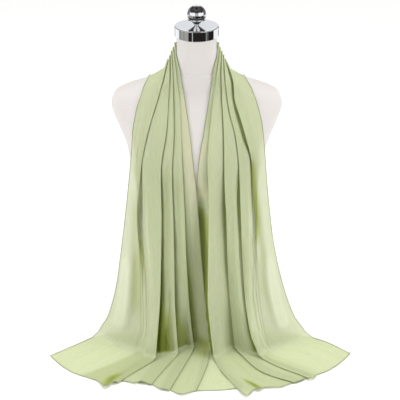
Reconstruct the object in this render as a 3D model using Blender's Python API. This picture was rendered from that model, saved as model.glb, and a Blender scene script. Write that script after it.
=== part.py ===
"""A chiffon scarf worn round the neck of a limbless dress form that stands on a table.

Metres, +Z up. The origin is the centre of the form's flat bottom, on the table.
The form faces -Y, and +X is the viewer's right.

The scarf is one long rectangle of cloth. Half of it hangs from each side of the neck. Each half
is worked out from six guide lines that run along the cloth, from the middle of the back to the
hem: the two long edges, and the crests of four lapped folds between them. At every station along
the cloth a section is drawn across these lines, folded as the fold table says, and the sections
are lofted into a thin wall.
"""
from collections import namedtuple

import bpy
import numpy as np

MM = 0.001

# ---------------------------------------------------------------------------------------------
# Sizes, in millimetres
# ---------------------------------------------------------------------------------------------
WALL = 1.0                  # thickness of the cloth's wall
FORM_CLEARANCE = 1.5        # from the form to the middle of the wall, at least
SEAM_GAP = 0.3              # between two stretches of the scarf, and between hard pieces

NECK_TOP = 657.7            # height of the form's neck
FORM_POINTS = 36            # corners of one section of the form
FORM_RING_STEP = 30         # between two rings, along the form's side, at most
FORM_SQUARENESS = 2.4       # 2 is an ellipse, more is squarer

# The form's sections, from the flat bottom to the top of the neck
FormSection = namedtuple("FormSection", "height half_width front back")
FORM_SECTIONS = (
    FormSection(0, 150, 92, 104),
    FormSection(60, 158, 98, 110),
    FormSection(130, 140, 90, 98),
    FormSection(210, 120, 84, 82),
    FormSection(290, 130, 98, 88),
    FormSection(350, 140, 114, 94),
    FormSection(385, 146, 118, 98),
    FormSection(420, 152, 113, 102),
    FormSection(455, 165, 100, 104),
    FormSection(485, 177, 83, 101),
    FormSection(507, 183, 68, 95),
    FormSection(522, 180, 58, 88),
    FormSection(534, 171, 50, 80),
    FormSection(543, 150, 44, 73),
    FormSection(554, 115, 41, 66),
    FormSection(572, 80, 39, 58),
    FormSection(590, 57, 39, 51),
    FormSection(606, 47, 40, 47),
    FormSection(625, 43, 41, 45),
    FormSection(NECK_TOP, 42, 42, 42),
)

CAP_RADIUS = 46
CAP_HEIGHT = 22
CAP_BEVEL = 1.5
BALL_RADIUS = 19.5
BALL_RISE = 24              # from the cap's plate to the middle of the ball
STEM_RADIUS = 4.2
STEM_FOOT_RADIUS = 7.0
TURNED_POINTS = 36          # corners of one turn of the cap and the finial

# ---------------------------------------------------------------------------------------------
# The scarf's guide lines
# ---------------------------------------------------------------------------------------------
# Stations behind the neck, for the six lines from the outer edge to the inner edge, as
# (across, back, height). The left half takes `across` as it is, and the right half mirrors it.
BACK_STATIONS = (
    # nape, the middle of the back
    ((0, 113, 440), (0, 107, 527), (0, 85, 581), (0, 71, 606), (0, 57, 633), (0, 47, 651)),
    # quarter of the way round
    ((-52, 109, 456), (-42, 99, 541), (-34, 80, 585), (-27, 63, 612), (-23, 52, 634), (-20, 43, 651)),
    # behind the shoulder blade
    ((-90, 93, 500), (-66, 74, 571), (-54, 54, 602), (-47, 42, 622), (-42, 34, 638), (-37, 28, 650)),
    # back of the shoulder
    ((-105, 64, 541), (-71, 40, 599), (-62, 27, 619), (-56, 20, 631), (-50, 16, 640), (-44, 14, 648)),
    # ridge, where the cloth crosses from the back to the front
    ((-106, 14, 560), (-69, 5, 608), (-61, 1, 622), (-56, -1, 631), (-51, -1, 639), (-45.5, 2, 646)),
)

# Between the ridge and the breast the stations share out each line's own drop
COLLAR_SHARES = (0.25, 0.5, 0.75)
BREAST_HEIGHT = 470
LEVELS = (BREAST_HEIGHT, 420, 370, 300, 210, 120, 50, 18)      # heights of the stations below
FLARE = 1.2                 # how the hanging cloth swings out towards its foot
BEND_LENGTH = 6             # from the foot to the middle of the bend onto the table
BEND_RISE = 7               # height of the bend above the lying cloth
LIE_LENGTH = 26             # from the foot to where the cloth lies flat

# across: distance from the middle at the collar stations and at each level but the last
# foot, middle and hem: places on the table, as (across, forward)
# off_neck, off_form: how far the line stands off the form beside the neck and on the breast
# hang_from: height below which the line hangs clear of the form
# set_back: how far it hangs behind the fold crests; lie: height of the line above the table
Line = namedtuple("Line", "name across foot middle hem off_neck off_form hang_from set_back lie")
LEFT_LINES = (
    Line("outer edge", (-117, -126, -131, -135, -139, -144, -152, -164, -177, -196),
         (-226, -133), (-268, -170), (-319, -214), 2.2, 2.2, 480, 0, 0.8),
    Line("fold 1", (-72, -82, -94, -104, -115, -121, -126, -122, -121, -122),
         (-134, -196), (-190, -245), (-250, -288), 15, 13, 400, 0, 3),
    Line("fold 2", (-57, -59, -61, -65, -74, -76, -75, -76, -79, -85),
         (-88, -226), (-123, -281), (-164, -320), 12, 12, 385, 0, 7),
    Line("fold 3", (-50, -49, -48, -48, -51, -52, -50, -48, -47, -43),
         (-40, -213), (-68, -277), (-95, -332), 9, 12, 380, 0, 7),
    Line("fold 4", (-43, -38, -34, -32, -30, -28, -25, -22, -17, -11),
         (-5, -188), (-25, -262), (-57, -347), 6, 12, 380, 0, 7),
    Line("inner edge", (-36, -29, -21, -14, -8, -2, 3, 9, 17, 25),
         (29, -197), (20, -262), (-3, -350), 2.2, 2.2, 380, 0, 3),
)
RIGHT_LINES = (
    Line("outer edge", (121, 130, 136, 140, 145, 149, 156, 169, 190, 215),
         (250, -134), (292, -162), (335, -205), 2.2, 2.2, 480, 0, 0.8),
    Line("fold 1", (73, 78, 89, 102, 115, 119, 121, 127, 134, 146),
         (160, -196), (215, -236), (272, -278), 15, 13, 400, 0, 3),
    Line("fold 2", (60, 64, 70, 79, 88, 91, 94, 98, 105, 117),
         (134, -218), (180, -268), (234, -301), 12, 12, 385, 0, 7),
    Line("fold 3", (51, 52, 53, 56, 58, 59, 63, 66, 71, 78),
         (83, -192), (135, -275), (205, -322), 9, 12, 380, 0, 7),
    Line("fold 4", (43, 38, 32, 28, 25, 25, 25, 24, 24, 31),
         (35, -206), (52, -280), (89, -341), 6, 12, 380, 0, 5),
    Line("inner edge", (36, 30, 22, 14, 5, 1, -4, -3, 3, 12),
         (16, -168), (8, -255), (-8, -346), 2.2, 2.2, 380, 32, 0.8),
)

# ---------------------------------------------------------------------------------------------
# The folds
# ---------------------------------------------------------------------------------------------
# Places along the cloth where the folds' sizes are given
PLACES = ("nape", "ridge", "chest", "waist", "ankle", "floor")
# lap: how far the cloth runs back under its panel; depth: from the crest down to the valley;
# opening: from the crest across to where the next panel comes up. One value for each place.
Fold = namedtuple("Fold", "name lap depth opening")
LEFT_FOLDS = (
    Fold("fold 1", (14, 6, 14, 5, 0, 0), (10, 5, 6, 8, 3, 2), (4, 1, 2, 14, 20, 20)),
    Fold("fold 2", (10, 1, 24, 22, 28, 34), (9, 3.5, 7, 26, 20, 5.5), (4, 3, 3, 9, 15, 8)),
    Fold("fold 3", (8, 0, 14, 15, 18, 24), (8, 2.5, 6.5, 20, 15, 5.5), (3, 4, 2, 4, 5, 4)),
    Fold("fold 4", (5, 0, 9, 13, 16, 16), (6, 1.5, 6, 18, 12, 4.5), (3, 5, 2, 4, 5, 4)),
)
RIGHT_FOLDS = (
    Fold("fold 1", (14, 6, 20, 5, 0, 0), (10, 5, 7, 10, 3, 2), (4, 1, 3, 14, 20, 20)),
    Fold("fold 2", (10, 1, 16, 14, 14, 20), (9, 3.5, 7, 20, 15, 5.5), (4, 3, 2, 7, 12, 10)),
    Fold("fold 3", (8, 0, 16, 15, 16, 22), (8, 2.5, 6.5, 20, 12, 5.5), (3, 4, 2, 5, 5, 4)),
    Fold("fold 4", (5, 0, 5, 1, 1, 20), (6, 1.5, 6, 6, 6, 5), (3, 5, 3, 8, 8, 5)),
)
FOLD_RADIUS = (1.1, 0.95, 1.2, 1.6, 1.4, 0.95)      # of a fold's two turns, at each place
PANEL_BULGE = (0.04, 0.0, 0.03, 0.07, 0.05, 0.0)    # of a panel's width, at each place
PANEL_FLATNESS = (0.0, 0.0, 0.0, 0.0, 0.3, 1.0)     # 1 lies flat until it reaches its own lap
LAP_LIMIT = 0.72            # of a panel's width, so that a lap never reaches the fold before it
LAP_ROOM = 3.6              # at least this much of a panel has no lap under it
CLOSED_LAP = 5.0            # a lap this long is a closed fold; a shorter one is a softer wave

# Rows of the loft, counted in stations from the nape (0) to the hem
SEAM_STATION = 4.55
FRONT_ROWS = (5, 6, 7, 8, 8.5, 9, 9.5, 10, 10.6, 11.3, 12, 12.7, 13.4, 14, 14.6,
              15, 15.5, 16, 16.5, 17, 18, 19)
BACK_ROWS = (0, 0.5, 1, 1.5, 2, 2.5, 3, 3.55, 4.1)
SLOPE_STEP = 2.0            # along the cloth, each way, for the slope at a point
SLOPE_REACH = 0.05          # across it, each way, as a share of a panel


# ---------------------------------------------------------------------------------------------
# Curves
# ---------------------------------------------------------------------------------------------
def curve_through(knots, values, at):
    """Read a smooth curve that passes through `values` at `knots`."""
    knots = np.asarray(knots, float)
    values = np.asarray(values, float)
    at = np.atleast_1d(np.asarray(at, float))
    span = np.diff(knots).reshape((-1,) + (1,) * (values.ndim - 1))
    slope = np.diff(values, axis=0) / span
    tangent = np.empty_like(values)
    tangent[0] = slope[0]
    tangent[-1] = slope[-1]
    tangent[1:-1] = (slope[:-1] * span[1:] + slope[1:] * span[:-1]) / (span[1:] + span[:-1])
    cell = np.clip(np.searchsorted(knots, at, side="right") - 1, 0, len(knots) - 2)
    width = span[cell]
    t = (at - knots[cell]).reshape(width.shape[:1] + (1,) * (values.ndim - 1)) / width
    start = (1 + 2 * t) * (1 - t) ** 2 * values[cell] + t * (1 - t) ** 2 * width * tangent[cell]
    end = t ** 2 * (3 - 2 * t) * values[cell + 1] + t ** 2 * (t - 1) * width * tangent[cell + 1]
    return start + end


def eased(knots, values, at):
    """Read `values` at `at`, easing from each knot to the next with no overshoot."""
    cell = int(np.clip(np.searchsorted(knots, at, side="right") - 1, 0, len(knots) - 2))
    t = float(np.clip((at - knots[cell]) / (knots[cell + 1] - knots[cell]), 0, 1))
    t = t * t * (3 - 2 * t)
    return values[cell] * (1 - t) + values[cell + 1] * t


def mix(first, second, share):
    return first * (1 - share) + second * share


# ---------------------------------------------------------------------------------------------
# The form
# ---------------------------------------------------------------------------------------------
def form_section(height):
    """Half width, front and back of the form at a height."""
    table = np.array(FORM_SECTIONS, float)
    return curve_through(table[:, 0], table[:, 1:], min(height, NECK_TOP))[0]


def form_front(across, height, off):
    """How far forward (-Y) the form's front lies, moved out by `off`."""
    half_width, front, _ = form_section(height)
    share = min(abs(across) / (half_width + off), 1.0)
    return -(front + off) * (1 - share ** FORM_SQUARENESS) ** (1 / FORM_SQUARENESS)


def off_the_form(points, off):
    """Move any point that is nearer to the form than `off` level out to that distance."""
    moved = points.copy()
    for point in moved:
        if point[2] > NECK_TOP:
            continue
        slope = (form_section(point[2] + 1) - form_section(point[2] - 1)) / 2
        half_width, front, back = form_section(point[2]) + off * np.hypot(1, slope)
        deep = front if point[1] < 0 else back
        reach = (abs(point[0] / half_width) ** FORM_SQUARENESS
                 + abs(point[1] / deep) ** FORM_SQUARENESS) ** (1 / FORM_SQUARENESS)
        if reach < 1:
            point[:2] /= max(reach, 0.2)
    return moved


# ---------------------------------------------------------------------------------------------
# The scarf's surface
# ---------------------------------------------------------------------------------------------
def line_points(line, back_points, side):
    """One guide line's points, a point for each station from the nape to the hem."""
    points = [(side * x, y, z) for x, y, z in back_points]
    ridge = points[-1][2]
    heights = [mix(ridge, BREAST_HEIGHT, share) for share in COLLAR_SHARES] + list(LEVELS)
    across = list(line.across) + [mix(line.across[-1], line.foot[0], 1 - LEVELS[-1] / LEVELS[-2])]
    shares = list(COLLAR_SHARES) + [1.0] * len(LEVELS)
    hang_across = np.interp(-line.hang_from, [-height for height in heights], across)
    hang_forward = form_front(hang_across, line.hang_from, line.off_form)
    for x, height, share in zip(across, heights, shares):
        if height > line.hang_from:
            forward = form_front(x, height, mix(line.off_neck, line.off_form, share))
        else:
            drop = 1 - height / line.hang_from
            forward = mix(hang_forward, line.foot[1], drop ** FLARE)
            forward += line.set_back * np.sin(np.pi * drop)
        points.append((x, forward, height))
    foot = np.array(line.foot, float)
    run = np.array(line.middle, float) - foot
    run /= np.linalg.norm(run)
    bend = foot + run * BEND_LENGTH
    lie = foot + run * LIE_LENGTH
    points.append((bend[0], bend[1], line.lie + BEND_RISE))
    points.append((lie[0], lie[1], line.lie))
    points.append((*line.middle, line.lie))
    points.append((*line.hem, line.lie))
    return points


class Half:
    """One half of the scarf, from the nape to its hem, as a folded surface."""

    def __init__(self, lines, folds, side):
        self.folds = folds
        self.side = side
        points = [line_points(line, [row[index] for row in BACK_STATIONS], side)
                  for index, line in enumerate(lines)]
        points = np.array(points, float)
        ghost = points[:, 1:2] * (-1, 1, 1)             # the other half, so the nape is smooth
        points = np.concatenate((ghost, points), axis=1)
        steps = np.linalg.norm(np.diff(points, axis=1), axis=2).mean(axis=0)
        length = np.concatenate(((0.0,), np.cumsum(steps)))
        self.lengths = length - length[1]
        self.points = points.transpose(1, 0, 2)
        last = len(self.lengths) - 1
        places = {"nape": 1, "ridge": 5, "chest": 10, "waist": 13, "ankle": 15, "floor": last - 3}
        self.places = [self.lengths[places[name]] for name in PLACES]

    def length_at(self, station):
        """Distance along the cloth of a station, which may be a fraction."""
        return float(np.interp(station + 1, range(len(self.lengths)), self.lengths))

    def guide(self, length, line):
        """Points of the smooth sheet through the guide lines, at fractional line numbers."""
        row = curve_through(self.lengths, self.points, length)[0]
        knots = np.concatenate(((0.0,), np.cumsum(np.linalg.norm(np.diff(row, axis=0), axis=1))))
        distance = np.interp(line, range(len(knots)), knots)
        return curve_through(knots, row, distance)

    def line_distances(self, length):
        row = curve_through(self.lengths, self.points, length)[0]
        return np.concatenate(((0.0,), np.cumsum(np.linalg.norm(np.diff(row, axis=0), axis=1))))

    def place(self, values, length):
        return eased(self.places, values, length)

    def fold_knots(self, fold, panel, before, length):
        """(across, depth) knots of one fold and of the panel that leads to it.

        `across` is measured from the fold's crest, and the panel comes from -panel.
        `before` is the (opening, depth) that the panel starts from.
        """
        radius = self.place(FOLD_RADIUS, length)
        flat = self.place(PANEL_FLATNESS, length)
        bulge = self.place(PANEL_BULGE, length) * panel
        depth = self.place(fold.depth, length)
        start, start_depth = before
        opening = self.place(fold.opening, length)
        room = panel - start
        lap = max(min(self.place(fold.lap, length), LAP_LIMIT * room, room - LAP_ROOM), 0.0)
        rest = mix(0.22, 0.3, flat) * start_depth - bulge       # the panel's depth over its lap
        turn = max(rest + 2.1 * radius, 0.6 * depth)
        brim = max(lap, 0.45 * room)
        crown = [
            (mix(start - panel, -brim, 0.5), mix(0.5, 0.97, flat) * start_depth - bulge),
            (-brim, rest),
            (-0.45 * brim - 0.5, 0.3 * rest),
        ]
        hook = [
            (-1.7 * radius, 0.0), (0.0, radius), (-1.7 * radius, 2 * radius),
            (1.2 * radius - lap, turn), (-0.5 * radius - lap, turn + radius),
            (1.2 * radius - lap, turn + 2 * radius),
            (0.25 * opening, depth), (opening, 0.8 * depth),
        ]
        wave = [
            (-0.2 * opening, 0.02 * depth), (0.0, 0.1 * depth), (0.2 * opening, 0.28 * depth),
            (0.35 * opening, 0.5 * depth), (0.5 * opening, 0.7 * depth),
            (0.65 * opening, 0.88 * depth), (0.8 * opening, depth), (1.05 * opening, 0.95 * depth),
        ]
        closed = min(lap / CLOSED_LAP, 1.0)
        closed = closed * closed * (3 - 2 * closed)
        turns = [(mix(w[0], h[0], closed), mix(w[1], h[1], closed)) for w, h in zip(wave, hook)]
        return crown + turns, turns[-1]

    def section(self, length):
        """One row of the folded surface, from the outer edge to the inner edge."""
        distances = self.line_distances(length)
        knots = [(0.0, 0.0)]
        before = (0.0, 0.0)
        for index, fold in enumerate(self.folds, start=1):
            panel = distances[index] - distances[index - 1]
            turns, before = self.fold_knots(fold, panel, before, length)
            knots += [(distances[index] + across, depth) for across, depth in turns]
        last_panel = distances[-1] - distances[-2]
        opening, depth = before
        for share in (0.35, 0.7):
            across = mix(opening, last_panel, share)
            knots.append((distances[-2] + across, depth * (1 - share) ** 1.3))
        knots.append((distances[-1], 0.0))
        knots = np.array(knots)
        return self.place_on_guide(length, knots[:, 0], knots[:, 1], distances)

    def place_on_guide(self, length, across, depth, distances):
        """Points at `depth` behind the guide sheet."""
        last = len(distances) - 1
        line = np.interp(across, distances, range(len(distances)))
        along = self.guide(length + SLOPE_STEP, line) - self.guide(length - SLOPE_STEP, line)
        over = (self.guide(length, np.minimum(line + SLOPE_REACH, last))
                - self.guide(length, np.maximum(line - SLOPE_REACH, 0)))
        normal = self.side * -np.cross(over, along)
        normal /= np.linalg.norm(normal, axis=1)[:, None]
        points = self.guide(length, line) - normal * depth[:, None]
        return off_the_form(points, FORM_CLEARANCE)


def sheet_normals(rows):
    """Unit normals of a grid of points."""
    down = np.gradient(rows, axis=0)
    over = np.gradient(rows, axis=1)
    normal = np.cross(over, down)
    return normal / np.linalg.norm(normal, axis=2)[:, :, None]


# ---------------------------------------------------------------------------------------------
# Meshes
# ---------------------------------------------------------------------------------------------
def clear_scene():
    for item in list(bpy.data.objects):
        bpy.data.objects.remove(item, do_unlink=True)


def principled(name, colour, roughness, metallic=0.0, transmission=0.0):
    material = bpy.data.materials.new(name)
    material.use_nodes = True
    shader = material.node_tree.nodes["Principled BSDF"]
    shader.inputs["Base Color"].default_value = (*colour, 1.0)
    shader.inputs["Roughness"].default_value = roughness
    shader.inputs["Metallic"].default_value = metallic
    shader.inputs["Transmission Weight"].default_value = transmission
    material.diffuse_color = (*colour, 1.0)
    return material


def add_object(name, points, faces, material, sharp_angle=60.0):
    """A closed mesh object; the points are in millimetres."""
    mesh = bpy.data.meshes.new(name)
    mesh.from_pydata((np.asarray(points) * MM).tolist(), [], faces)
    mesh.validate()
    mesh.materials.append(material)
    mesh.shade_smooth()
    mesh.set_sharp_from_angle(angle=np.radians(sharp_angle))
    item = bpy.data.objects.new(name, mesh)
    bpy.context.scene.collection.objects.link(item)
    return item


def cloth_wall(name, rows, material, outward):
    """A closed wall of even thickness on both sides of a grid of points."""
    rows = np.asarray(rows)
    count, width, _ = rows.shape
    shift = sheet_normals(rows) * (outward * WALL / 2)
    outer = rows + shift
    inner = rows - shift
    outer[:, :, 2] = np.maximum(outer[:, :, 2], 0.0)
    inner[:, :, 2] = np.maximum(inner[:, :, 2], 0.0)
    points = np.concatenate((outer.reshape(-1, 3), inner.reshape(-1, 3)))
    other = count * width
    faces = []
    for r in range(count - 1):
        for c in range(width - 1):
            a, b = r * width + c, r * width + c + 1
            d, e = a + width, b + width
            faces.append((a, d, e, b))
            faces.append((other + a, other + b, other + e, other + d))
    rim = [(0, c) for c in range(width)] + [(r, width - 1) for r in range(1, count)]
    rim += [(count - 1, c) for c in range(width - 2, -1, -1)]
    rim += [(r, 0) for r in range(count - 2, 0, -1)]
    rim = [r * width + c for r, c in rim]
    for here, after in zip(rim, rim[1:] + rim[:1]):
        faces.append((here, after, other + after, other + here))
    if outward > 0:
        faces = [face[::-1] for face in faces]
    return add_object(name, points, faces, material)


def ringed_solid(name, rings, material, sharp_angle=60.0):
    """A closed solid through rings of points, with flat ends, from the bottom up."""
    count = len(rings[0])
    points = np.concatenate(rings)
    faces = [tuple(range(count))[::-1]]
    for r in range(len(rings) - 1):
        for c in range(count):
            after = (c + 1) % count
            faces.append((r * count + c, r * count + after,
                          (r + 1) * count + after, (r + 1) * count + c))
    top = (len(rings) - 1) * count
    faces.append(tuple(range(top, top + count)))
    return add_object(name, points, faces, material, sharp_angle)


def turned_rings(profile):
    """Rings round the Z axis for a profile of (radius, height)."""
    angles = np.arange(TURNED_POINTS) * 2 * np.pi / TURNED_POINTS
    circle = np.stack((np.cos(angles), np.sin(angles)), axis=1)
    return [np.column_stack((circle * radius, np.full(TURNED_POINTS, height)))
            for radius, height in profile]


# ---------------------------------------------------------------------------------------------
# The pieces
# ---------------------------------------------------------------------------------------------
def build_form(material):
    angles = np.arange(FORM_POINTS) * 2 * np.pi / FORM_POINTS
    cosine, sine = np.cos(angles), np.sin(angles)
    heights = [0.0]
    for below, above in zip(FORM_SECTIONS, FORM_SECTIONS[1:]):
        rise = np.hypot(above.height - below.height, above.half_width - below.half_width)
        count = int(np.ceil(rise / FORM_RING_STEP))
        heights += [mix(below.height, above.height, (step + 1) / count) for step in range(count)]
    rings = []
    for height in heights:
        half_width, front, back = form_section(height)
        deep = np.where(sine < 0, front, back)
        radius = (np.abs(cosine / half_width) ** FORM_SQUARENESS
                  + np.abs(sine / deep) ** FORM_SQUARENESS) ** (-1 / FORM_SQUARENESS)
        rings.append(np.column_stack((cosine * radius, sine * radius,
                                      np.full(FORM_POINTS, height))))
    return ringed_solid("form_torso", rings, material)


def build_cap(material):
    bottom = NECK_TOP + SEAM_GAP
    top = bottom + CAP_HEIGHT
    profile = ((CAP_RADIUS, bottom), (CAP_RADIUS, top - CAP_BEVEL), (CAP_RADIUS - CAP_BEVEL, top))
    return ringed_solid("form_neck_cap", turned_rings(profile), material, 30.0)


def build_finial(material):
    foot = NECK_TOP + SEAM_GAP + CAP_HEIGHT + SEAM_GAP
    middle = NECK_TOP + SEAM_GAP + CAP_HEIGHT + BALL_RISE
    profile = [(STEM_FOOT_RADIUS, foot), (STEM_RADIUS, foot + 1.6), (STEM_RADIUS, foot + 3.0)]
    for angle in np.radians((-64, -52, -38, -24, -10, 4, 18, 32, 46, 60, 74)):
        profile.append((BALL_RADIUS * np.cos(angle), middle + BALL_RADIUS * np.sin(angle)))
    profile.append((1.0, middle + BALL_RADIUS))
    return ringed_solid("form_finial", turned_rings(profile), material)


def build_scarf(material):
    left = Half(LEFT_LINES, LEFT_FOLDS, 1)
    right = Half(RIGHT_LINES, RIGHT_FOLDS, -1)
    for name, half in (("scarf_left_front", left), ("scarf_right_front", right)):
        seam = half.length_at(SEAM_STATION)
        rows = [half.section(seam + SEAM_GAP)]
        rows += [half.section(half.length_at(station)) for station in FRONT_ROWS]
        cloth_wall(name, rows, material, -half.side)
    back = [left.section(left.length_at(SEAM_STATION) - SEAM_GAP)]
    back += [left.section(left.length_at(station)) for station in reversed(BACK_ROWS)]
    back += [right.section(right.length_at(station)) for station in BACK_ROWS[1:]]
    back.append(right.section(right.length_at(SEAM_STATION) - SEAM_GAP))
    cloth_wall("scarf_back_neck", back, material, 1)


def main():
    clear_scene()
    chiffon = principled("sage chiffon", (0.56, 0.62, 0.37), 0.75, transmission=0.2)
    jersey = principled("off-white jersey on foam", (0.80, 0.77, 0.74), 0.85)
    chrome = principled("chrome plate", (0.80, 0.81, 0.83), 0.06, metallic=1.0)
    build_form(jersey)
    build_cap(chrome)
    build_finial(chrome)
    build_scarf(chiffon)


main()
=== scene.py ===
"""The looks of a chiffon scarf that is worn by a limbless dress form on a table.

Metres, +Z up. The origin is the centre of the form's flat bottom, on the table. The form faces
-Y, and +X is the viewer's right. Lengths in the tables below are in millimetres.

The scarf is one length of chiffon. Each half is worked out from six guide lines that run from
the nape to the hem: the two long edges, and the crests of four lapped folds between them.
"""
import math
from collections import namedtuple

import bpy
import numpy as np
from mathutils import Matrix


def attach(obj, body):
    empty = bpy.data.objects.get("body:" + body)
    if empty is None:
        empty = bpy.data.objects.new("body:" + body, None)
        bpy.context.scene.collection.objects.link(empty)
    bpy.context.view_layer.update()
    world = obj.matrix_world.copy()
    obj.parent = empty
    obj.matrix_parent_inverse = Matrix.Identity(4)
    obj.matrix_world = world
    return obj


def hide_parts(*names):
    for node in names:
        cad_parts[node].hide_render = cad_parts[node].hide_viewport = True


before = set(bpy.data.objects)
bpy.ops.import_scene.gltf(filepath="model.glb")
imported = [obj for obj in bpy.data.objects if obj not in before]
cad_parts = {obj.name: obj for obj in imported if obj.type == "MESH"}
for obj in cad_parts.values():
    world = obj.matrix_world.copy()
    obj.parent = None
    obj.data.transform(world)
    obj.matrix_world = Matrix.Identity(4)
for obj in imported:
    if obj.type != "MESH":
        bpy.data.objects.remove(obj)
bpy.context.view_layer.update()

MM = 0.001


def table(columns, *rows):
    """Rows of a table with named columns."""
    row = namedtuple("Row", columns)
    return [row(*values) for values in rows]


# ---- The form, and what is bought for it ----
NECK_TOP = 657.7
SEAM_GAP = 0.3
FORM_SQUARENESS = 2.4       # 2 is an ellipse, more is squarer
FORM_POINTS = 160           # corners of one ring of the jersey
FORM_RING_STEP = 4.0        # height between two rings of the jersey
FORM_FOOT_RADIUS = 5.0      # where the side turns under to the flat bottom
NECK_SEAM_HEIGHT = 584      # where the neck's jersey is joined to the body's
NECK_SEAM_DEPTH = 0.7
NECK_SEAM_WIDTH = 1.6

FORM_SECTIONS = table(
    "height half_width front back",
    (0, 150, 92, 104), (60, 158, 98, 110), (130, 140, 90, 98), (210, 120, 84, 82),
    (290, 130, 98, 88), (350, 140, 114, 94), (385, 146, 118, 98), (420, 152, 113, 102),
    (455, 165, 100, 104), (485, 177, 83, 101), (507, 183, 68, 95), (522, 180, 58, 88),
    (534, 171, 50, 80), (543, 150, 44, 73), (554, 115, 41, 66), (572, 80, 39, 58),
    (590, 57, 39, 51), (606, 47, 40, 47), (625, 43, 41, 45), (NECK_TOP, 42, 42, 42),
)

CAP_RADIUS = 46
CAP_HEIGHT = 22
CAP_BEVEL = 1.3
CAP_CROWN = 0.35            # how much lower the plate's edge is than its middle
BALL_RADIUS = 19.5
BALL_RISE = 24              # from the cap's plate to the middle of the ball
STEM_RADIUS = 4.6
CUP_RADIUS = 19.2           # the flared cup that the ball sits in
CUP_DROP = 10.5             # from the middle of the ball to the cup's rim
TURNED_POINTS = 144

# ---- The scarf's guide lines ----
SCARF_WIDTH = 500           # the flat cut
SCARF_LENGTH = 1860

# Stations behind the neck, for the six lines from the outer edge to the inner edge, as
# (across, back, height). The left half takes `across` as it is, and the right half mirrors it.
BACK_STATIONS = (
    # nape, the middle of the back
    ((0, 113, 440), (0, 107, 527), (0, 85, 581), (0, 71, 603), (0, 57, 625), (0, 47, 643)),
    # quarter of the way round
    ((-52, 109, 456), (-42, 99, 541), (-34, 80, 583), (-27, 63, 606), (-23, 52, 625), (-20, 43, 642)),
    # behind the shoulder blade
    ((-90, 93, 500), (-62, 74, 568), (-52, 54, 595), (-47, 42, 611), (-42, 34, 626), (-37, 28, 639)),
    # back of the shoulder
    ((-100, 64, 543), (-62, 40, 591), (-57.5, 27, 606), (-53, 20, 617), (-49, 16, 627), (-44.5, 14, 636)),
    # ridge, where the cloth crosses from the back to the front
    ((-103, 12, 562), (-62, 4, 603), (-58, 1, 613), (-54, -1, 623), (-50, -1, 631), (-46, 2, 639)),
)

COLLAR_SHARES = (0.25, 0.5, 0.75)       # of the drop from the ridge to the breast
BREAST_HEIGHT = 470
LEVELS = (BREAST_HEIGHT, 420, 370, 300, 210, 120, 50, 24, 11)
FLARE = 1.2                 # how the hanging cloth swings out towards its foot
BEND_LENGTH = 2.5           # from the foot to the middle of the bend onto the table
BEND_RISE = 3
LIE_LENGTH = 9              # from the foot to where the cloth lies flat
FOOT_STATION = 15           # below it a fold's layers keep their distance behind its crest
HEM_SHARE = 0.45            # of that distance is left at the hem

LINE = "name across foot middle hem off_neck off_form hang_from set_back lie"
LEFT_LINES = table(
    LINE,
    ("outer edge", (-117, -126, -131, -135, -139, -144, -152, -164, -177, -196),
     (-226, -133), (-268, -170), (-319, -214), 2.2, 2.2, 480, 0, 0.8),
    ("fold 1", (-72, -82, -94, -104, -115, -121, -127, -123.5, -121, -122),
     (-134, -196), (-190, -245), (-250, -288), 15, 13, 400, 0, 2.2),
    ("fold 2", (-57, -59, -61, -65, -74, -76, -75, -76, -79, -85),
     (-89, -234), (-127, -276), (-164, -320), 12, 12, 385, 0, 4.8),
    ("fold 3", (-50, -49, -48, -48, -51, -52, -50, -48, -47, -43),
     (-40, -213), (-67, -266), (-95, -328), 9, 12, 380, 0, 4.8),
    ("fold 4", (-43, -38, -34, -32, -30, -28, -25, -22, -17, -11),
     (-5, -188), (-27, -258), (-57, -349), 6, 12, 380, 0, 4.8),
    ("inner edge", (-36, -29, -21, -14, -8, -2, 3, 9, 17, 25),
     (29, -190), (22, -255), (-1, -348), 2.2, 2.2, 380, 8, 2.6),
)
RIGHT_LINES = table(
    LINE,
    ("outer edge", (121, 130, 136, 140, 145, 149, 156, 169, 190, 215),
     (250, -134), (292, -162), (335, -205), 2.2, 2.2, 480, 0, 0.8),
    ("fold 1", (77, 80, 91, 102, 115, 119, 124, 130, 135, 146),
     (160, -196), (215, -236), (272, -278), 15, 13, 400, 0, 2.2),
    ("fold 2", (60, 64, 71, 81, 88, 91, 94, 98, 105, 117),
     (137, -226), (184, -268), (235, -301), 12, 12, 385, 0, 4.8),
    ("fold 3", (52, 53, 55, 57, 58, 59, 63, 66, 71, 78),
     (84, -192), (136, -278), (205, -321), 9, 12, 380, 0, 4.8),
    ("fold 4", (43, 37, 31, 26, 22, 24, 25, 24, 24, 31),
     (37, -232), (57, -288), (87, -341), 6, 12, 380, 0, 4),
    ("inner edge", (36, 30, 22, 14, 5, 1, 0, 5, 12, 19),
     (20, -172), (10, -255), (-5, -347), 2.2, 2.2, 380, 56, 0.8),
)

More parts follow.
